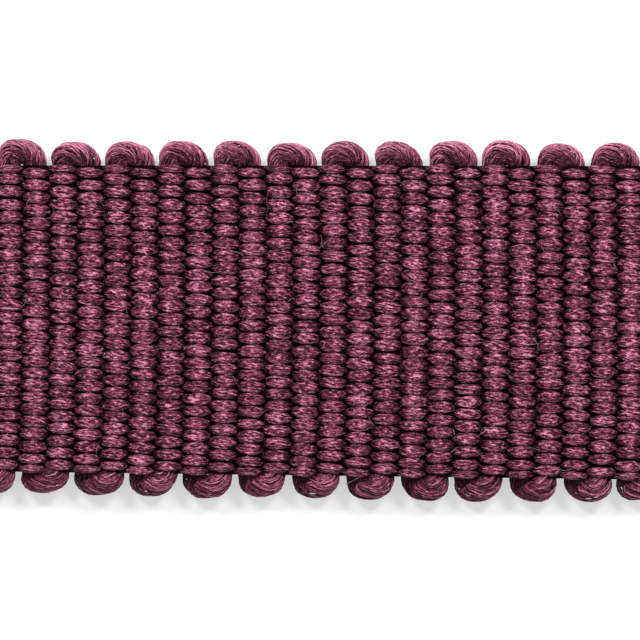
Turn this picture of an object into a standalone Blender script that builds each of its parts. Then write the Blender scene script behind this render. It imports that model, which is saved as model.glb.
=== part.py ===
# Gimp trim: a ribbed, warp-faced braid with a scalloped edge on both sides, lying flat, face up.
#
# Frame: +X along the braid, +Y across it, +Z up out of its face. The origin is centred under it.
# A thick roping, the weft, runs to and fro across the braid and turns in a round loop at each edge.
# Fine silky ends, the warp, wrap over and under every pass, so each pass is a rib on both faces.

import math
from collections import namedtuple

import bmesh
import bpy

MM = 0.001

# Whole braid: one rib is one pass of the roping
RIB_COUNT = 32
RIB_PITCH = 1.892 * MM
MID_HEIGHT = 1.15 * MM
RIB_SWELL = 0.013  # share by which one rib is fuller or leaner than the next
FIRST_RIB, LAST_RIB = -RIB_COUNT // 2, RIB_COUNT // 2 - 1

# One rib's section: share of the pitch, and height from the middle in mm. The next rib closes it.
RibPoint = namedtuple("RibPoint", "across rise")
RIB_TOP = (
    RibPoint(0.00, 0.47),
    RibPoint(0.12, 0.78),
    RibPoint(0.28, 1.06),
    RibPoint(0.50, 1.17),
    RibPoint(0.72, 1.06),
    RibPoint(0.88, 0.78),
)
RIB_UNDERSIDE = (
    RibPoint(0.00, -0.50),
    RibPoint(0.12, -0.85),
    RibPoint(0.30, -1.15),
    RibPoint(0.50, -1.15),
    RibPoint(0.70, -1.15),
    RibPoint(0.88, -0.85),
)

# Sections across the web, from its lower edge to its upper one, and how full each rib is there
Level = namedtuple("Level", "share fullness")
LEVELS = (Level(0.0, 0.92), Level(0.02, 1.0), Level(0.5, 1.0), Level(0.98, 1.0), Level(1.0, 0.92))

# The web's long edges along the braid, in mm, and how far each rib leans from head to foot
Edges = namedtuple("Edges", "x upper lower lean")
WEB_EDGES = (
    Edges(-30.3, 10.74, -10.17, -0.30),
    Edges(0.0, 10.70, -10.55, -0.20),
    Edges(30.3, 10.67, -10.92, 0.05),
)

# The passage that the warp leaves in each rib, and the roping in it and in its loops
PASSAGE_RADIUS = 0.74 * MM
ROPING_RADIUS = 0.42 * MM
LOOP_RADIUS = 0.74 * MM

# The roping's turns in mm: how far each stands out past the web, and how far its tip slips in X
Turn = namedtuple("Turn", "reach slip")
UPPER_TURNS = (
    Turn(1.99, -0.14), Turn(1.85, -0.32), Turn(1.86, -0.14), Turn(1.91, -0.31),
    Turn(1.91, -0.16), Turn(1.82, -0.08), Turn(1.91, 0.18), Turn(1.84, -0.25),
    Turn(1.91, -0.09), Turn(1.90, -0.09), Turn(1.77, -0.15), Turn(1.79, 0.00),
)
LOWER_TURNS = (
    Turn(1.62, -0.45), Turn(1.71, -0.21), Turn(1.73, -0.40), Turn(1.82, -0.07),
    Turn(1.70, -0.07), Turn(1.73, 0.07), Turn(1.86, 0.14), Turn(1.90, 0.45),
    Turn(1.87, -0.21), Turn(1.85, 0.28), Turn(1.87, 0.00),
)
FIRST_UPPER_GAP, FIRST_LOWER_GAP = -11, -10  # the gaps between ribs where the two tables start
TURN_START = 0.30 * MM  # clear of the web's edge
TURN_STEPS = 8
BLOOM = 1.9  # how soon a turn fills out
CUT_END_REACH = 0.60 * MM


def edges_at(x):
    """The row of WEB_EDGES at x, in metres, on a straight line between the two rows beside it."""
    before, after = next(
        (pair for pair in zip(WEB_EDGES, WEB_EDGES[1:]) if x < pair[1].x * MM), WEB_EDGES[-2:]
    )
    share = (x / MM - before.x) / (after.x - before.x)
    return Edges(*((a + (b - a) * share) * MM for a, b in zip(before, after)))


def settle(x, share):
    """Where the point at x and at this share of the way up the web really lies, in X and Y."""
    edges = edges_at(x)
    return x + edges.lean * (0.5 - share), edges.lower + (edges.upper - edges.lower) * share


def silk(name, colour, roughness):
    material = bpy.data.materials.new(name)
    material.use_nodes = True
    shader = material.node_tree.nodes["Principled BSDF"]
    shader.inputs["Base Color"].default_value = (*colour, 1.0)
    shader.inputs["Roughness"].default_value = roughness
    shader.inputs["Metallic"].default_value = 0.0
    return material


def add_object(name, data, material):
    data.materials.append(material)
    piece = bpy.data.objects.new(name, data)
    bpy.context.scene.collection.objects.link(piece)


def rib_line(bm, rows, swell):
    """Points along one face of the braid's section, over every rib, and the last rib's far side."""
    line = []
    for rib in range(FIRST_RIB, LAST_RIB + 1):
        fullness = 1.0 + swell * math.sin(1.7 * rib)
        for point in rows:
            rise = point.rise * (fullness if point.across else 1.0) * MM
            line.append(bm.verts.new(((rib + point.across) * RIB_PITCH, 0.0, MID_HEIGHT + rise)))
    line.append(bm.verts.new(((LAST_RIB + 1) * RIB_PITCH, 0.0, MID_HEIGHT + rows[0].rise * MM)))
    return line


def passage_ring(bm, rib, sides):
    """A circle round the rib's middle, clockwise from the left, as many points as its outline."""
    ring = []
    for side in range(sides):
        angle = math.pi - math.tau * (side + 0.5) / sides
        x = (rib + 0.5) * RIB_PITCH + PASSAGE_RADIUS * math.cos(angle)
        ring.append(bm.verts.new((x, 0.0, MID_HEIGHT + PASSAGE_RADIUS * math.sin(angle))))
    return ring


def web_section(bm, skin):
    """Faces of the cross-section: in each rib a band between its outline and its passage.

    The skin layer is 1 on the outline's points, which tells them from the passages' points.
    """
    top, underside = rib_line(bm, RIB_TOP, RIB_SWELL), rib_line(bm, RIB_UNDERSIDE, 0.0)
    for vert in top + underside:
        vert[skin] = 1
    faces, per_rib = [], len(RIB_TOP)
    for rib in range(FIRST_RIB, LAST_RIB + 1):
        first = (rib - FIRST_RIB) * per_rib
        own = slice(first, first + per_rib + 1)
        outline = top[own] + underside[own][::-1]
        passage = passage_ring(bm, rib, len(outline))
        for side in range(len(outline)):
            before = side - 1
            band = (outline[before], outline[side], passage[side], passage[before])
            faces.append(bm.faces.new(band))
    return faces


def woven_web():
    """The section grown across the braid level by level, then leaned and tapered to its place."""
    bm = bmesh.new()
    skin = bm.verts.layers.int.new("skin")
    faces = lower_end = web_section(bm, skin)
    for before, after in zip(LEVELS, LEVELS[1:]):
        grown = bmesh.ops.extrude_face_region(bm, geom=faces)["geom"]
        raised = [part for part in grown if isinstance(part, bmesh.types.BMVert)]
        bmesh.ops.translate(bm, verts=raised, vec=(0.0, after.share - before.share, 0.0))
        if faces is not lower_end:
            bmesh.ops.delete(bm, geom=faces, context="FACES")
        faces = [part for part in grown if isinstance(part, bmesh.types.BMFace)]
    for vert in bm.verts:
        level = min(LEVELS, key=lambda row: abs(row.share - vert.co.y))
        if vert[skin]:
            vert.co.z = MID_HEIGHT + (vert.co.z - MID_HEIGHT) * level.fullness
        vert.co.x, vert.co.y = settle(vert.co.x, level.share)
    bmesh.ops.recalc_face_normals(bm, faces=bm.faces)
    mesh = bpy.data.meshes.new("warp_web")
    bm.to_mesh(mesh)
    bm.free()
    mesh.shade_smooth()
    mesh.set_sharp_from_angle(angle=math.radians(40))
    return mesh


def turn(gap, upper):
    """Points and radii of the roping where it turns past an edge, from one rib to the next.

    It is half an ellipse from the one rib's middle to the other's, its tip slipped sideways.
    """
    rows, first = (UPPER_TURNS, FIRST_UPPER_GAP) if upper else (LOWER_TURNS, FIRST_LOWER_GAP)
    row = rows[(gap - first) // 2 % len(rows)]
    centre_x, edge_y = settle(gap * RIB_PITCH, 1.0 if upper else 0.0)
    outward = 1.0 if upper else -1.0
    rise = row.reach * MM - LOOP_RADIUS - TURN_START
    points = []
    for step in range(TURN_STEPS + 1):
        angle = math.pi * step / TURN_STEPS
        x = centre_x - 0.5 * RIB_PITCH * math.cos(angle) + row.slip * MM * math.sin(angle) ** 2
        y = edge_y + outward * (TURN_START + rise * math.sin(angle))
        filled = min(1.0, BLOOM * math.sin(angle))
        points.append((x, y, ROPING_RADIUS + (LOOP_RADIUS - ROPING_RADIUS) * filled))
    return points


def cut_end(rib):
    """The roping's plain end, a little past the web's lower edge under this rib."""
    x, y = settle((rib + 0.5) * RIB_PITCH, 0.0)
    return x, y - CUT_END_REACH, ROPING_RADIUS


def roping():
    """The weft from its cut end at the left, through every rib and round every turn."""
    route = [cut_end(FIRST_RIB)]
    for gap in range(FIRST_RIB + 1, LAST_RIB + 1):
        route += turn(gap, upper=gap % 2 == 1)
    route.append(cut_end(LAST_RIB))
    curve = bpy.data.curves.new("weft_roping", "CURVE")
    curve.dimensions = "3D"
    curve.twist_mode = "Z_UP"
    curve.bevel_depth = 1.0  # so that each point's radius is the roping's own
    curve.bevel_resolution = 2
    curve.use_fill_caps = True
    spline = curve.splines.new("POLY")
    spline.points.add(len(route) - 1)
    for point, (x, y, radius) in zip(spline.points, route):
        point.co = (x, y, MID_HEIGHT, 1.0)
        point.radius = radius
    spline.use_smooth = True
    return curve


for old in list(bpy.data.objects):
    bpy.data.objects.remove(old)
add_object("warp_web", woven_web(), silk("plum_silk_ends", (0.130, 0.036, 0.062), 0.55))
add_object("weft_roping", roping(), silk("plum_silk_roping", (0.105, 0.030, 0.050), 0.45))
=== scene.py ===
import bpy
import numpy as np
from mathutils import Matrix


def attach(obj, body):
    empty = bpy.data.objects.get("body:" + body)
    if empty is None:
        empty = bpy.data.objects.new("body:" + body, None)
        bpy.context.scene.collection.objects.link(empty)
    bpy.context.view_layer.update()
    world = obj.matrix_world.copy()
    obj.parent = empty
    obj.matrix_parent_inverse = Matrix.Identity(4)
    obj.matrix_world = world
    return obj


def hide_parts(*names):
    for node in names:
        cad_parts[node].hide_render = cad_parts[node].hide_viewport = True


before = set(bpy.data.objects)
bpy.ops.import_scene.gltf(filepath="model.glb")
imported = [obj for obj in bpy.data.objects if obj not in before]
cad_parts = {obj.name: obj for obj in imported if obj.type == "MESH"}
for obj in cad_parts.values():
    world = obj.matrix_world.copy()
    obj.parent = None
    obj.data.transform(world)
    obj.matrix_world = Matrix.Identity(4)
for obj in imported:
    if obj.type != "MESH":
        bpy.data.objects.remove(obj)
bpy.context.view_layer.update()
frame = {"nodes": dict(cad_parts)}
print("frame loaded:", ", ".join(frame["nodes"]))

mm = 0.001

# The braid's layout, the same as the solids': edges and lean run straight between these rows along x.
layout = {
    "ribCount": 32,
    "ribPitch": 1.892 * mm,
    "midHeight": 1.15 * mm,
    "rowX": np.array([-30.3, 0.0, 30.3]) * mm,
    "upperEdge": np.array([10.74, 10.70, 10.67]) * mm,
    "lowerEdge": np.array([-10.17, -10.55, -10.92]) * mm,
    "lean": np.array([-0.30, -0.20, 0.05]) * mm,
    "loomWidth": 21.25 * mm,  # the straight web's width, before its edges taper
    "sway": np.array([0.16, 0.16, 0.22]) * mm,  # to the right, half way between the edges
    "driftShare": (0.0, 0.16, 0.39, 0.62, 0.84, 1.0),  # shares of the way up from the lower edge
    "drift": np.array([0.0, 0.035, 0.21, 0.12, 0.07, 0.0]) * mm,  # how far down the ends lie there
}
ribPitch = layout["ribPitch"]
midHeight = layout["midHeight"]
halfWeb = 0.5 * layout["loomWidth"]
firstRib = -layout["ribCount"] // 2
farAlong = 900.0  # every yarn reads the pattern from a start drawn up to here, so that no two are alike


# From the straight loom to the real braid: y runs in proportion between the two edges at that x,
# and x moves by the lean times the share of the way down from the middle. Between the edges the ribs
# also sway to the right, by one less the fourth power of the way out, and the ends drift down a bit.
def settle(points):
    x, share = points[..., 0], points[..., 1] / layout["loomWidth"] + 0.5
    upper = np.interp(x, layout["rowX"], layout["upperEdge"])
    lower = np.interp(x, layout["rowX"], layout["lowerEdge"])
    lean = np.interp(x, layout["rowX"], layout["lean"])
    wayOut = np.clip(np.abs(2.0 * share - 1.0), 0.0, 1.0)
    sway = np.interp(x, layout["rowX"], layout["sway"]) * (1.0 - wayOut**4)
    placed = points.copy()
    placed[..., 0] = x + lean * (0.5 - share) + sway
    drift = np.interp(share, layout["driftShare"], layout["drift"])
    placed[..., 1] = lower + (upper - lower) * share - drift
    placed[..., 2] = np.maximum(points[..., 2], 0.0)  # soft yarn goes flat on what it lies on
    return placed


def unit(vectors):
    return vectors / np.linalg.norm(vectors, axis=-1, keepdims=True)


# Random values that change slowly along one axis: a normal draw, averaged with its neighbours there
# so many times, and brought back to a spread of 1.
def slowRandom(rng, shape, axis, times):
    values = rng.normal(0.0, 1.0, shape)
    for _ in range(times):
        before, after = np.roll(values, 1, axis), np.roll(values, -1, axis)
        values = 0.25 * before + 0.5 * values + 0.25 * after
    return values / values.std()


# A section carried along paths: each ring point is the path's point, plus across times the
# direction nearest to guide that is square to the path, plus outward times the one square to both.
def sweep(path, guide, across, outward):
    tangent = unit(np.gradient(path, axis=-2))
    guide = np.broadcast_to(np.asarray(guide, float), path.shape)
    side = unit(guide - (guide * tangent).sum(-1, keepdims=True) * tangent)
    face = np.cross(tangent, side)
    moved = across[..., None] * side[..., None, :] + outward[..., None] * face[..., None, :]
    return path[..., None, :] + moved


# Closed tubes from points in tubes, rings and sides: quads join each ring to the next one, and a
# strip of quads from one side of the ring to the other closes each end. The sides are even in number.
def tubeFaces(tubes, rings, sides):
    ring, side = np.arange(rings - 1)[:, None] * sides, np.arange(sides)[None, :]
    after = (side + 1) % sides
    wall = np.stack([ring + side, ring + after, ring + sides + after, ring + sides + side], -1)
    step = np.arange(sides // 2 - 1)
    strip = np.stack([step, sides - 1 - step, sides - 2 - step, step + 1], -1)
    one = np.concatenate([wall.reshape(-1, 4), strip, strip[:, ::-1] + (rings - 1) * sides])
    return (one[None] + (np.arange(tubes) * rings * sides)[:, None, None]).reshape(-1, 4)


# A mesh object at the origin from points in tubes, rings and sides. place and tone are kept on the
# points: place is where a point is in its own yarn, in mm, and tone how light that yarn is there,
# with the painted shade and painted light of the warp and roping in it.
def tubePiece(name, points, place, tone, material):
    tubes, rings, sides = points.shape[:3]
    faces = tubeFaces(tubes, rings, sides)
    mesh = bpy.data.meshes.new(name)
    mesh.vertices.add(tubes * rings * sides)
    mesh.loops.add(faces.size)
    mesh.polygons.add(len(faces))
    mesh.vertices.foreach_set("co", points.astype(np.float32).ravel())
    mesh.loops.foreach_set("vertex_index", faces.astype(np.int32).ravel())
    mesh.polygons.foreach_set("loop_start", np.arange(0, faces.size, 4, dtype=np.int32))
    mesh.update(calc_edges=True)
    shape = points.shape[:3]
    placeLayer = mesh.attributes.new("place", "FLOAT_VECTOR", "POINT")
    placeLayer.data.foreach_set("vector", np.broadcast_to(place, shape + (3,)).astype(np.float32).ravel())
    toneLayer = mesh.attributes.new("tone", "FLOAT", "POINT")
    toneLayer.data.foreach_set("value", np.broadcast_to(tone, shape).astype(np.float32).ravel())
    mesh.shade_smooth()
    mesh.materials.append(material)
    piece = bpy.data.objects.new(name, mesh)
    bpy.context.scene.collection.objects.link(piece)
    return piece


# Materials
# Silky fibre, a group for every yarn here. Two noises read the point's place in its yarn, stretched
# along it: a fine one for filaments and a broad one for locks. Shade is their weighted sum with the
# tone, which carries painted shade and light. It runs from Dark to Middle, and its fourth power takes
# that on to Light, which paints glints into the colour as painted highlights. The sum without the tone
# also sets roughness and height.
def buildFibreGroup():
    group = bpy.data.node_groups.new("silkyFibre", "ShaderNodeTree")
    sockets = group.interface
    for name, kind in (("Place", "Vector"), ("Tone", "Float"), ("Dark", "Color"), ("Middle", "Color"),
                       ("Light", "Color"), ("Fineness", "Float"), ("Contrast", "Float")):
        sockets.new_socket(name, in_out="INPUT", socket_type="NodeSocket" + kind)
    for name, kind in (("Color", "Color"), ("Roughness", "Float"), ("Height", "Float")):
        sockets.new_socket(name, in_out="OUTPUT", socket_type="NodeSocket" + kind)
    nodes, links = group.nodes, group.links
    entry, leave = nodes.new("NodeGroupInput"), nodes.new("NodeGroupOutput")

    def noise(stretch, detail):
        scaled = nodes.new("ShaderNodeVectorMath")
        scaled.operation = "MULTIPLY"
        scaled.inputs[1].default_value = stretch
        links.new(entry.outputs["Place"], scaled.inputs[0])
        texture = nodes.new("ShaderNodeTexNoise")
        texture.inputs["Detail"].default_value = detail
        texture.inputs["Roughness"].default_value = 0.6
        links.new(scaled.outputs[0], texture.inputs["Vector"])
        links.new(entry.outputs["Fineness"], texture.inputs["Scale"])
        return texture.outputs["Fac"]

    def reckon(operation, first, second, third=0.0):
        step = nodes.new("ShaderNodeMath")
        step.operation = operation
        for socket, value in zip(step.inputs, (first, second, third)):
            if isinstance(value, float):
                socket.default_value = value
            else:
                links.new(value, socket)
        return step.outputs[0]

    def blend(share, first, second):
        mix = nodes.new("ShaderNodeMix")
        mix.data_type = "RGBA"
        links.new(share, mix.inputs["Factor"])
        links.new(first, mix.inputs[6])
        links.new(second, mix.inputs[7])
        return mix.outputs[2]

    filaments = noise((6.0, 17.0, 17.0), 1.0)
    locks = noise((2.6, 8.5, 8.5), 0.5)
    mottle = reckon("MULTIPLY_ADD", filaments, 0.5, -0.5)
    mottle = reckon("MULTIPLY_ADD", locks, 0.5, mottle)
    shade = reckon("MULTIPLY_ADD", mottle, entry.outputs["Contrast"], entry.outputs["Tone"])
    clamped = nodes.new("ShaderNodeClamp")
    links.new(shade, clamped.inputs["Value"])
    body = blend(clamped.outputs[0], entry.outputs["Dark"], entry.outputs["Middle"])
    glint = reckon("POWER", clamped.outputs[0], 4.0)
    links.new(blend(glint, body, entry.outputs["Light"]), leave.inputs["Color"])
    links.new(reckon("MULTIPLY_ADD", mottle, -0.8, 0.32), leave.inputs["Roughness"])
    links.new(mottle, leave.inputs["Height"])
    return group


# A silky material: the fibre group's colour, roughness and height on a Principled shader.
def silkMaterial(name, group, look):
    material = bpy.data.materials.new(name)
    material.use_nodes = True
    nodes, links = material.node_tree.nodes, material.node_tree.links
    shader = nodes["Principled BSDF"]
    fibre = nodes.new("ShaderNodeGroup")
    fibre.node_tree = group
    for layer, output, socket in (("place", "Vector", "Place"), ("tone", "Fac", "Tone")):
        reader = nodes.new("ShaderNodeAttribute")
        reader.attribute_name = layer
        links.new(reader.outputs[output], fibre.inputs[socket])
    for shade in ("dark", "middle", "light"):
        fibre.inputs[shade.capitalize()].default_value = (*look[shade], 1.0)
    fibre.inputs["Fineness"].default_value = look["fineness"]
    fibre.inputs["Contrast"].default_value = look["contrast"]
    bump = nodes.new("ShaderNodeBump")
    bump.inputs["Strength"].default_value = look["bumpStrength"]
    bump.inputs["Distance"].default_value = look["bumpDepth"]
    links.new(fibre.outputs["Height"], bump.inputs["Height"])
    links.new(fibre.outputs["Color"], shader.inputs["Base Color"])
    links.new(fibre.outputs["Roughness"], shader.inputs["Roughness"])
    links.new(bump.outputs["Normal"], shader.inputs["Normal"])
    shader.inputs["Specular IOR Level"].default_value = look["specular"]
    shader.inputs["Specular Tint"].default_value = (*look["tint"], 1.0)
    return material


fibreGroup = buildFibreGroup()
warpLook = {
    "dark": (0.012, 0.0012, 0.0030),
    "middle": (0.350, 0.064, 0.140),
    "light": (0.800, 0.310, 0.460),
    "fineness": 1.15,
    "contrast": 4.2,
    "bumpStrength": 1.0,
    "bumpDepth": 0.45 * mm,
    "specular": 0.35,
    "tint": (1.0, 0.45, 0.62),
}
ropingLook = dict(warpLook, contrast=3.2, bumpDepth=0.12 * mm)
hairLook = dict(warpLook, dark=(0.30, 0.13, 0.18), middle=(0.45, 0.26, 0.32), light=(0.70, 0.52, 0.58))
# The ground's near-black is painted shade: it stands for the shade in the gaps between the beads.
paintedShadeGroundLook = dict(warpLook, dark=(0.004, 0.001, 0.002), middle=(0.009, 0.002, 0.004),
                  light=(0.012, 0.003, 0.005), specular=0.1)
warpSilk = silkMaterial("warpSilk", fibreGroup, warpLook)
ropingSilk = silkMaterial("ropingSilk", fibreGroup, ropingLook)
hairSilk = silkMaterial("hairSilk", fibreGroup, hairLook)
paintedShadeGroundSilk = silkMaterial("paintedShadeGroundSilk", fibreGroup, paintedShadeGroundLook)
print("materials made")

# Warp ends
warp = {
    "ends": 50,
    "seed": 11,
    "sides": 18,
    "ringsPerRib": 10,
    "edgeInset": -0.06 * mm,  # from the solid web's edge to the outermost end's middle
    "edgeCrowd": (0.17 * mm, 6.0, 0.25 * mm, 0.8),  # ends lie closer to the edge, but for the last one
    "rise": 0.975 * mm,  # from the middle to the end's middle on a rib's crown
    "slant": 0.03 * mm,
    "halfWidth": (0.19 * mm, 0.43 * mm),  # in the gap between two ribs, and on the crown
    "halfHeight": (0.20 * mm, 0.180 * mm),
    "turnsPerRib": 0.10,
    "edgeSqueeze": (0.34, 1.5),
    "widthJitter": 0.05,
    "heightJitter": 0.020 * mm,
    "sideJitter": 0.020 * mm,
    "plyRelief": 0.016 * mm,
    "fibreRelief": 0.026 * mm,
    "crownShape": 1.6,  # the power of the sine that widens an end from gap to crown
    "tone": (0.50, 0.03),
    "beadTone": 0.04,
    "paintedReliefLightAndShade": 2.0,  # painted light and shade: a millimetre of relief makes the tone this much lighter, so raised fibres are lighter and the hollows between them darker
    # painted shade: the ends are made darker towards the gaps between ribs, where the beads shade each
    # other
    "paintedGapShade": 0.85,
    "paintedGapShadePower": 0.9,
    "placePerRib": 2.6,  # how far the material's place runs along an end from one rib to the next
    "placeRadius": 0.3,
}
warpRing = np.arange(layout["ribCount"] * warp["ringsPerRib"] + 1)
ribOfRing = np.minimum(warpRing // warp["ringsPerRib"], layout["ribCount"] - 1)
angleOfRing = np.pi * (warpRing - ribOfRing * warp["ringsPerRib"]) / warp["ringsPerRib"]
sine, cosine = np.sin(angleOfRing), np.cos(angleOfRing)


# Values at random, one for each end and rib, carried onto the rings: each is full on the crown of
# its rib and fades to nothing at the gaps, as the sine of the angle over the rib.
def perBead(rng, size):
    drawn = rng.normal(0.0, 1.0, (warp["ends"], layout["ribCount"]))
    return np.clip(drawn, -2.0, 2.0)[:, ribOfRing] * size * sine


# The ends' middle lines. Over each rib an end follows half an ellipse: x runs as minus the cosine
# and z as the sine, above the middle on every other rib and below it on the rest, and y slants with
# the cosine. Near the edges the even spacing shifts by two exponentials of the distance in ends.
def warpPaths(rng):
    end = np.arange(warp["ends"])[:, None]
    fromEdge = np.minimum(end, warp["ends"] - 1 - end)
    over = np.where((end + ribOfRing + firstRib) % 2 == 1, 1.0, -1.0)
    x = (firstRib + ribOfRing + 0.5 - 0.5 * cosine) * ribPitch
    reach = halfWeb - warp["edgeInset"]
    crowd, crowdEnds, held, heldEnds = warp["edgeCrowd"]
    shift = crowd * np.exp(-fromEdge / crowdEnds) - held * np.exp(-fromEdge / heldEnds)
    y = -reach + 2.0 * reach * end / (warp["ends"] - 1) + shift * np.sign(end - 0.5 * (warp["ends"] - 1))
    y = y + over * warp["slant"] * cosine + perBead(rng, warp["sideJitter"])
    z = midHeight + over * sine * (warp["rise"] + perBead(rng, warp["heightJitter"]))
    squeeze, squeezeEnds = warp["edgeSqueeze"]
    width = (1.0 - squeeze * np.exp(-fromEdge / squeezeEnds)) * (1.0 + perBead(rng, warp["widthJitter"]))
    return np.stack([np.broadcast_to(x, y.shape), y, z], -1), width


# Each end in section is an ellipse, wide on the crown and narrow in the gap, that turns slowly. Its
# radius has a relief: a draw for each side, which makes plies along it, and a slower one for fibres.
def warpYarns():
    rng = np.random.default_rng(warp["seed"])
    path, width = warpPaths(rng)
    ends, rings, sides = warp["ends"], len(warpRing), warp["sides"]
    narrow, wide = warp["halfWidth"]
    halfWidth = ((narrow + (wide - narrow) * np.abs(sine) ** warp["crownShape"]) * width)[..., None]
    low, high = warp["halfHeight"]
    halfHeight = (low + (high - low) * sine**2)[None, :, None]
    around = 2.0 * np.pi * np.arange(sides) / sides
    pace = warp["turnsPerRib"] * (1.0 + 0.5 * rng.normal(0.0, 1.0, (ends, 1, 1)))
    turned = rng.uniform(0.0, 1.0, (ends, 1, 1)) + pace * warpRing[:, None] / warp["ringsPerRib"]
    angle = around + 2.0 * np.pi * turned
    plies = np.broadcast_to(rng.normal(0.0, 1.0, (ends, 1, sides)), angle.shape)
    fibres = slowRandom(rng, angle.shape, 1, 1)
    relief = np.clip(warp["plyRelief"] * plies + warp["fibreRelief"] * fibres, -0.06 * mm, 0.06 * mm)
    across = (halfWidth + relief) * np.cos(angle)
    outward = (halfHeight + relief) * np.sin(angle)
    points = sweep(path, (0.0, 1.0, 0.0), across, outward)
    along = warp["placePerRib"] * warpRing[:, None] / warp["ringsPerRib"]
    along = along + rng.uniform(0.0, farAlong, (ends, 1, 1))
    flat = [warp["placeRadius"] * np.broadcast_to(trig(around), angle.shape) for trig in (np.cos, np.sin)]
    place = np.stack([np.broadcast_to(along, angle.shape), *flat], -1)
    beads = rng.normal(0.0, warp["beadTone"], (ends, layout["ribCount"]))[:, ribOfRing]
    # Painted shade: the tone falls towards the gaps between ribs, by a power of one less the sine.
    paintedGapShade = warp["paintedGapShade"] * (1.0 - np.abs(sine)) ** warp["paintedGapShadePower"]
    tone = rng.normal(*warp["tone"], (ends, 1)) + beads - paintedGapShade
    # Painted light on raised fibres and painted shade in the hollows between them, from the relief.
    return points, place, tone[..., None] + warp["paintedReliefLightAndShade"] * relief / mm


yarns, yarnPlaces, yarnTones = warpYarns()
bands = {"WarpEndsLower": (0, 12), "WarpEndsLowerMiddle": (12, 25), "WarpEndsUpperMiddle": (25, 38),
         "WarpEndsUpper": (38, 50)}
warpPieces = []
for bandName, (first, last) in bands.items():
    own = slice(first, last)
    warpPieces.append(tubePiece(bandName, settle(yarns[own]), yarnPlaces[own], yarnTones[own], warpSilk))
print("warp ends woven:", warp["ends"])

# Ground: what holds the ends together under the beads, near-black as painted shade for the gaps between
# them
ground = {
    "crownRise": 0.78 * mm,
    "gapRise": 0.06 * mm,
    "edgeReach": 0.22 * mm,  # past the solid web's edge, so that no floor shows between the ends
    "levels": 12,
}


# One closed section, along the top and back along the underside, whose height over the middle is
# the gap's rise plus the sine's share of the rest. It is carried straight across the braid.
def groundPoints():
    x = (firstRib + ribOfRing + 0.5 - 0.5 * cosine) * ribPitch
    rise = ground["gapRise"] + (ground["crownRise"] - ground["gapRise"]) * sine
    sectionX = np.concatenate([x, x[::-1]])
    sectionZ = midHeight + np.concatenate([rise, -rise[::-1]])
    reach = halfWeb + ground["edgeReach"]
    level = np.linspace(-reach, reach, ground["levels"])
    points = np.zeros((1, len(level), len(sectionX), 3))
    points[..., 0], points[..., 2] = sectionX, sectionZ
    points[..., 1] = level[None, :, None]
    return points


groundPoint = groundPoints()
webGround = tubePiece("WebGround", settle(groundPoint), groundPoint / mm, 0.5, paintedShadeGroundSilk)
print("ground laid")

# Roping: the turns at both edges, each with its own reach past the solid web's edge and slip in mm
turnRows = {
    "upper": [(2.13, -0.40), (1.85, -0.42), (1.93, -0.20), (1.98, -0.45), (1.91, -0.46), (1.89, -0.30),
              (1.91, -0.10), (1.84, -0.45), (1.91, -0.36), (1.97, -0.20), (1.70, -0.20), (1.79, -0.10)],
    "lower": [(1.62, -0.38), (1.85, -0.17), (1.80, -0.20), (1.96, -0.14), (1.70, -0.07), (1.73, 0.00),
              (1.79, -0.16), (1.83, 0.08), (1.87, -0.18), (1.78, 0.06), (1.73, 0.08)],
    "firstUpperGap": -11,
    "firstLowerGap": -10,
}
roping = {
    "seed": 23,
    "strands": 70,
    "strandRadius": 0.045 * mm,
    "strandSides": 4,
    "archRings": 16,
    "rootDepths": np.array([1.4, 0.6]) * mm,
    "halfWidth": (0.68 * mm, 0.74 * mm),  # of the bundle at its roots, and out in the turn
    "halfHeight": (0.62 * mm, 0.68 * mm),
    "start": 0.05 * mm,
    "squareness": 0.72,
    "tilt": {"upper": 0.05 * mm, "lower": 0.28 * mm},
    "turns": -0.60,
    "lobes": 0.09,
    "scatter": 0.03,
    "wander": 0.04,
    "swerve": 0.25,
    "strandSpread": (0.7, 1.4),  # the thinnest and thickest strand, in strand radii
    "fillsOutBy": 1.8,  # the bundle is full where the sine of the turn reaches one over this
    "placeLength": 6.0,
    "placeRadius": 0.1,
    "tone": (0.43, 0.20),
    # painted shade: strands are darker near their roots, where the ribs shade them, fading out along the
    # turn
    "paintedRootShade": 0.40,
    "paintedRootShadeFades": 1.2,
    "paintedSideShadeAndLight": {"upper": 0.45, "lower": 0.10},  # painted shade on the side of each bundle that faces away from the lamps, and as much painted light on the side that faces them; on the upper turns the shaded side faces the turn's hollow
    "paintedLeftShadeRightLight": {"upper": 0.0, "lower": 0.28},  # painted shade taken off a turn's left leg and painted light added to its right one
    "coreShare": 0.94,
    "coreTightened": 0.22 * mm,
}


# The turns' middle lines, one for each gap: straight roots in the two ribs, joined by half a
# superellipse whose tip slips sideways by the sine squared, and whose height swings by twice the
# angle. A line that is tightened keeps that much inside, which closes the turn's hollow.
def turnPaths(edge, tightened=0.0):
    upper = edge == "upper"
    rows = np.array(turnRows[edge]) * mm
    firstGap = turnRows["firstUpperGap" if upper else "firstLowerGap"]
    gaps = np.arange(firstRib + (1 if upper else 2), firstRib + layout["ribCount"], 2)
    reach, slip = rows[((gaps - firstGap) // 2) % len(rows)].T[..., None]
    depth, arch = roping["rootDepths"], np.linspace(0.0, np.pi, roping["archRings"])
    angle = np.concatenate([depth * 0.0, arch, depth * 0.0 + np.pi])
    sunk = np.concatenate([depth, arch * 0.0, depth[::-1]])
    rise = reach - roping["halfWidth"][1] - roping["strandRadius"] - roping["start"] - tightened
    outward = 1.0 if upper else -1.0
    square = roping["squareness"]
    aside = np.sign(np.cos(angle)) * np.abs(np.cos(angle)) ** square
    x = gaps[:, None] * ribPitch - (0.5 * ribPitch - tightened) * aside + slip * np.sin(angle) ** 2
    y = outward * (halfWeb + roping["start"] - sunk + rise * np.abs(np.sin(angle)) ** square)
    z = midHeight - roping["tilt"][edge] * np.sin(2.0 * angle) + 0.0 * x
    return np.stack([x, y, z], -1), np.abs(np.sin(angle)), np.cos(angle)


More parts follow.
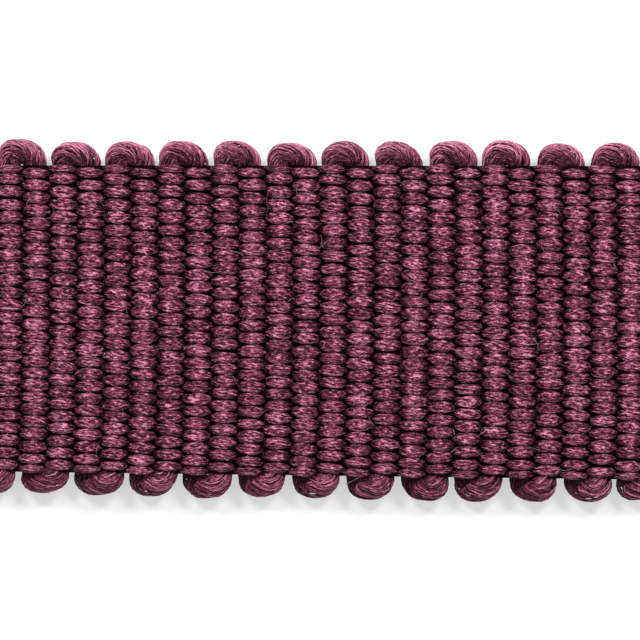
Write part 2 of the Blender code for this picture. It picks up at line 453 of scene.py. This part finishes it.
# Strands of a turn: each keeps its own angle in the bundle, which turns steadily from root to root,
# and its own distance from the middle, a little more on the bundle's two lobes, with a slow wander.
def turnStrands(edge, rng):
    path, sineOfTurn, cosineOfTurn = turnPaths(edge)
    turns, rings = path.shape[:2]
    count, sides = roping["strands"], roping["strandSides"]
    fullness = np.minimum(1.0, roping["fillsOutBy"] * sineOfTurn)

    def between(pair):
        return (pair[0] + (pair[1] - pair[0]) * fullness)[None, None]

    own = 2.0 * np.pi * (np.arange(count) + rng.uniform(-0.5, 0.5, (turns, count))) / count
    along = np.linspace(0.0, 1.0, rings)
    start = rng.uniform(0.0, 2.0 * np.pi, (turns, 1, 1))
    turned = 2.0 * np.pi * roping["turns"] * along * rng.normal(1.0, 0.15, (turns, 1, 1))
    phase, pace, swerve = rng.uniform(0.0, 2.0 * np.pi, (3, turns, count, 1))
    angle = own[..., None] + start + turned + roping["swerve"] * np.sin(swerve + (3.0 + pace) * along)
    wander = roping["wander"] * np.sin(phase + (4.0 + pace) * along)
    scatter = rng.normal(0.0, roping["scatter"], (turns, count, 1))
    away = 1.0 + roping["lobes"] * np.cos(2.0 * own)[..., None] + wander + scatter
    across = away * between(roping["halfWidth"]) * np.cos(angle)
    outward = away * between(roping["halfHeight"]) * np.sin(angle)
    middle = np.repeat(path[:, None], count, 1)
    line = sweep(middle, (0.0, 0.0, 1.0), outward[..., None], across[..., None])[..., 0, :]
    size = roping["strandRadius"] * rng.uniform(*roping["strandSpread"], (turns, count, 1, 1))
    around = 2.0 * np.pi * np.arange(sides) / sides + rng.uniform(0.0, 6.0, (turns, count, 1, 1))
    shape = (turns, count, rings, sides)
    around = np.broadcast_to(around, shape)
    tubes = sweep(line, (0.0, 0.0, 1.0), size * np.cos(around), size * np.sin(around))
    length = (along * roping["placeLength"])[:, None] + rng.uniform(0.0, farAlong, (turns, count, 1, 1))
    flat = [roping["placeRadius"] * trig(around) for trig in (np.cos, np.sin)]
    place = np.stack([np.broadcast_to(length, shape), *flat], -1)
    # Painted shade near the roots, and painted shade and light across the bundle and from leg to leg, all
    # taken off each strand's random tone.
    shade = roping["paintedRootShade"] * (1.0 - np.minimum(1.0, roping["paintedRootShadeFades"] * sineOfTurn))
    shade = shade + roping["paintedSideShadeAndLight"][edge] * np.cos(angle) + roping["paintedLeftShadeRightLight"][edge] * cosineOfTurn
    tone = np.broadcast_to(rng.normal(*roping["tone"], (turns, count, 1, 1)) - shade[..., None], shape)
    return [values.reshape(turns * count, *values.shape[2:]) for values in (tubes, place, tone)]


# The roping's body inside its strands: one tube through every rib and turn, from cut end to cut end.
def ropingCore():
    upper, lower = (turnPaths(edge, roping["coreTightened"]) for edge in ("upper", "lower"))
    lines = [upper[0][0]]
    for above, below in zip(upper[0][1:], lower[0]):
        lines += [below, above]
    path = np.concatenate(lines)
    cutEnd = np.array([0.0, -halfWeb - 0.45 * mm, midHeight])
    ends = [cutEnd + (path[at, 0], 0.0, 0.0) for at in (0, -1)]
    path = np.concatenate([ends[:1], path, ends[1:]])[None]
    fullness = np.tile(np.minimum(1.0, roping["fillsOutBy"] * upper[1]), len(lines))
    fullness = np.concatenate([[0.0], fullness, [0.0]])
    around = 2.0 * np.pi * np.arange(12) / 12
    sizes = [roping["coreShare"] * (pair[0] + (pair[1] - pair[0]) * fullness)[:, None]
             for pair in (roping["halfHeight"], roping["halfWidth"])]
    return sweep(path, (0.0, 0.0, 1.0), sizes[0] * np.cos(around), sizes[1] * np.sin(around))


ropingRng = np.random.default_rng(roping["seed"])
loopPieces = []
for edge in ("upper", "lower"):
    tubes, place, tone = turnStrands(edge, ropingRng)
    loopPieces.append(tubePiece(edge.capitalize() + "Loops", settle(tubes), place, tone, ropingSilk))
corePoints = ropingCore()
# The body's low tone of 0.1 is painted shade, for the shade inside the bundle and in the turns' hollows.
ropingBody = tubePiece("RopingBody", settle(corePoints), corePoints / mm, 0.1, ropingSilk)
print("roping turned at both edges")

# Fibres: strays that stand off the ribs, and the frayed cut ends of the warp and of the roping
fibres = {
    "seed": 31,
    "strays": 170,
    "strayLength": (0.4 * mm, 1.5 * mm),
    "strayStart": 2.20 * mm,
    "strayField": (15.5 * ribPitch, 0.97 * halfWeb),  # how far from the middle a stray may start
    "strayBend": 0.9,
    "strayClimb": (0.35, -0.70),
    "strayRadius": 0.011 * mm,
    "placedRadius": 0.018 * mm,
    "fraysPerEnd": 7,
    "frayLength": (0.15 * mm, 0.60 * mm),
    "frayRadius": 0.022 * mm,
    "fraySpread": 0.30,
    "brushStrands": 60,
    "brushLength": (0.55 * mm, 0.95 * mm),
    "brushSpread": 0.30,
}
# Strays placed one by one: x and y of the start in mm, heading and bend in degrees, length in mm
placedStrays = np.array([
    (-1.365, 9.64, 200.0, 140.0, 1.35), (10.885, -8.07, 32.0, 10.0, 3.10), (9.065, -9.26, 35.0, 8.0, 0.90),
    (-11.9, 10.3, 80.0, 320.0, 1.10), (-15.1, -2.4, 60.0, 20.0, 0.28), (-11.7, 8.85, 120.0, 20.0, 0.30),
    (19.2, 7.2, 60.0, 20.0, 0.28), (2.1, -11.4, 25.0, 8.0, 1.40), (9.5, -7.85, 97.0, 12.0, 0.45),
])


# Lines that turn steadily: the heading and the climb each go from a start by a change in all, and
# every step adds the direction that they give, times the same share of the length.
def fibreLines(start, heading, climb, length, rings):
    share = np.linspace(0.0, 1.0, rings)
    turn = heading[0][:, None] + heading[1][:, None] * share
    tilt = climb[0][:, None] + climb[1][:, None] * share
    step = np.stack([np.cos(tilt) * np.cos(turn), np.cos(tilt) * np.sin(turn), np.sin(tilt)], -1)
    step = step * (length / (rings - 1))[:, None, None]
    return start[:, None] + np.cumsum(step, 1) - step[:, :1]


# Thin tubes round the lines, each thinner towards its tip by the square of the way there.
def fibrePiece(name, lines, radius, tone, material):
    around = 0.5 * np.pi * np.arange(4)
    share = np.linspace(0.0, 1.0, lines.shape[1])
    size = (radius[:, None] * (1.0 - 0.6 * share**2))[..., None]
    tubes = sweep(lines, (0.0, 0.0, 1.0), size * np.cos(around), size * np.sin(around))
    place = settle(tubes) / mm * (2.0, 0.3, 0.3)
    return tubePiece(name, settle(tubes), place, tone[:, None, None], material)


def strayFibres(rng):
    count = fibres["strays"]
    low, high = fibres["strayLength"]
    start = rng.uniform(-1.0, 1.0, (count, 3)) * (*fibres["strayField"], 0.0)
    start[:, 2] = fibres["strayStart"] + rng.uniform(-0.04, 0.04, count) * mm
    heading = [rng.uniform(-np.pi, np.pi, count), rng.normal(0.0, fibres["strayBend"], count)]
    length = rng.uniform(low, high, count)
    radius = fibres["strayRadius"] * rng.uniform(0.8, 1.3, count)
    extra = placedStrays * (mm, mm, np.pi / 180.0, np.pi / 180.0, mm)
    extraStart = np.column_stack([extra[:, :2], np.full(len(extra), fibres["strayStart"] + 0.05 * mm)])
    start = np.concatenate([start, extraStart])
    heading = [np.concatenate([heading[0], extra[:, 2]]), np.concatenate([heading[1], extra[:, 3]])]
    length = np.concatenate([length, extra[:, 4]])
    radius = np.concatenate([radius, np.full(len(extra), fibres["placedRadius"])])
    climb = [np.full(len(length), value) for value in fibres["strayClimb"]]
    return fibreLines(start, heading, climb, length, 9), radius


# Frays start about the middle of every warp end, at both cut ends of the braid, and spread.
def warpFrays(rng):
    middles = warpPaths(np.random.default_rng(warp["seed"]))[0]
    count = warp["ends"] * fibres["fraysPerEnd"]
    starts, headings = [], []
    for ring, outward in ((0, np.pi), (-1, 0.0)):
        spread = rng.normal(0.0, 0.5, (count, 3)) * (0.0, warp["halfWidth"][0], warp["halfHeight"][0])
        starts.append(np.repeat(middles[:, ring], fibres["fraysPerEnd"], 0) + spread)
        headings.append(outward + rng.normal(0.0, fibres["fraySpread"], count))
    climb = [rng.normal(0.0, fibres["fraySpread"], 2 * count), rng.normal(-0.15, 0.35, 2 * count)]
    bend = rng.normal(0.0, 0.35, 2 * count)
    length = rng.uniform(*fibres["frayLength"], 2 * count)
    lines = fibreLines(np.concatenate(starts), [np.concatenate(headings), bend], climb, length, 5)
    return lines, fibres["frayRadius"] * rng.uniform(0.7, 1.2, 2 * count)


# The brush at each cut end of the roping: strands evenly over a disc, which leave it a little apart.
def ropingBrushes(rng):
    count = fibres["brushStrands"]
    spiral = 2.4 * np.arange(count)
    away = roping["coreShare"] * roping["halfWidth"][0] * np.sqrt((np.arange(count) + 0.5) / count)
    starts, tilts, turns = [], [], []
    for endPoint in corePoints[0][[0, -1]].mean(1):
        spread = np.stack([away * np.cos(spiral), 0.0 * away, away * np.sin(spiral)], -1)
        starts.append(endPoint + spread + (0.0, 0.15 * mm, 0.0))
        fan = fibres["brushSpread"] * spread / away[-1]
        turns.append(-0.5 * np.pi + fan[:, 0] + rng.normal(0.0, 0.08, count))
        tilts.append(fan[:, 2] + rng.normal(0.0, 0.08, count))
    bend, fall = rng.normal(0.0, 0.15, (2, 2 * count))
    length = rng.uniform(*fibres["brushLength"], 2 * count)
    heading, climb = [np.concatenate(turns), bend], [np.concatenate(tilts), fall]
    lines = fibreLines(np.concatenate(starts), heading, climb, length, 6)
    return lines, np.full(2 * count, 1.6 * roping["strandRadius"])


fibreRng = np.random.default_rng(fibres["seed"])
lines, radius = strayFibres(fibreRng)
strayPiece = fibrePiece("StrayFibres", lines, radius, fibreRng.normal(0.6, 0.15, len(lines)), hairSilk)
lines, radius = warpFrays(fibreRng)
frayPiece = fibrePiece("WarpFrays", lines, radius, fibreRng.normal(0.45, 0.15, len(lines)), warpSilk)
lines, radius = ropingBrushes(fibreRng)
brushPiece = fibrePiece("RopingCutEnds", lines, radius, fibreRng.normal(0.40, 0.15, len(lines)), ropingSilk)
print("fibres scattered and cut ends frayed")

# Stage: floor, lights and camera
view = {
    "photoSide": 640,
    "metresPerPixel": 0.070 * mm,
    "middle": (0.175 * mm, 0.12 * mm),
    "height": 0.60,
    "focusHeight": 1.6 * mm,
}
lights = {
    "left": {"at": (-0.24, 0.33, 0.42), "side": 0.14, "watts": 1.85},
    "right": {"at": (0.24, 0.33, 0.42), "side": 0.14, "watts": 2.1},
    "world": 0.55,
    "floorShade": 0.45,
    "floorGlow": 0.50,  # a white table lit from below
}


def addCamera():
    camera = bpy.data.cameras.new("camera")
    camera.sensor_width = 36.0
    width = view["photoSide"] * view["metresPerPixel"]
    camera.lens = camera.sensor_width * (view["height"] - view["focusHeight"]) / width
    holder = bpy.data.objects.new("camera", camera)
    holder.location = (*view["middle"], view["height"])
    bpy.context.scene.collection.objects.link(holder)
    bpy.context.scene.camera = holder


def addSoftbox(name, at, side, watts):
    lamp = bpy.data.lights.new(name, "AREA")
    lamp.shape = "SQUARE"
    lamp.size = side
    lamp.energy = watts
    holder = bpy.data.objects.new(name, lamp)
    holder.location = at
    away = np.array(at) / np.linalg.norm(at)
    holder.rotation_euler = (np.arccos(away[2]), 0.0, np.arctan2(away[0], -away[1]))
    bpy.context.scene.collection.objects.link(holder)


def addFloor():
    floor = bpy.data.meshes.new("floor")
    half = 1.0
    floor.from_pydata([(-half, -half, 0), (half, -half, 0), (half, half, 0), (-half, half, 0)], [],
                      [(0, 1, 2, 3)])
    material = bpy.data.materials.new("paleFloor")
    material.use_nodes = True
    shader = material.node_tree.nodes["Principled BSDF"]
    shader.inputs["Base Color"].default_value = (*3 * (lights["floorShade"],), 1.0)
    shader.inputs["Roughness"].default_value = 0.9
    shader.inputs["Specular IOR Level"].default_value = 0.0
    shader.inputs["Emission Color"].default_value = (1.0, 1.0, 1.0, 1.0)
    shader.inputs["Emission Strength"].default_value = lights["floorGlow"]
    floor.materials.append(material)
    sheet = bpy.data.objects.new("floor", floor)
    sheet.location = (0.0, 0.0, -0.02 * mm)
    bpy.context.scene.collection.objects.link(sheet)


addCamera()
for side in ("left", "right"):
    addSoftbox(side + "Softbox", lights[side]["at"], lights[side]["side"], lights[side]["watts"])
addFloor()
world = bpy.data.worlds.new("studio")
world.use_nodes = True
world.node_tree.nodes["Background"].inputs["Color"].default_value = (1.0, 1.0, 1.0, 1.0)
world.node_tree.nodes["Background"].inputs["Strength"].default_value = lights["world"]
bpy.context.scene.world = world
bpy.context.scene.view_settings.view_transform = "Standard"
print("stage set")

# What rides and replaces
for piece in [*warpPieces, webGround, strayPiece, frayPiece]:
    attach(piece, "root")
    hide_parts("warp_web")
for piece in [*loopPieces, ropingBody, brushPiece]:
    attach(piece, "root")
    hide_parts("weft_roping")

print("done")
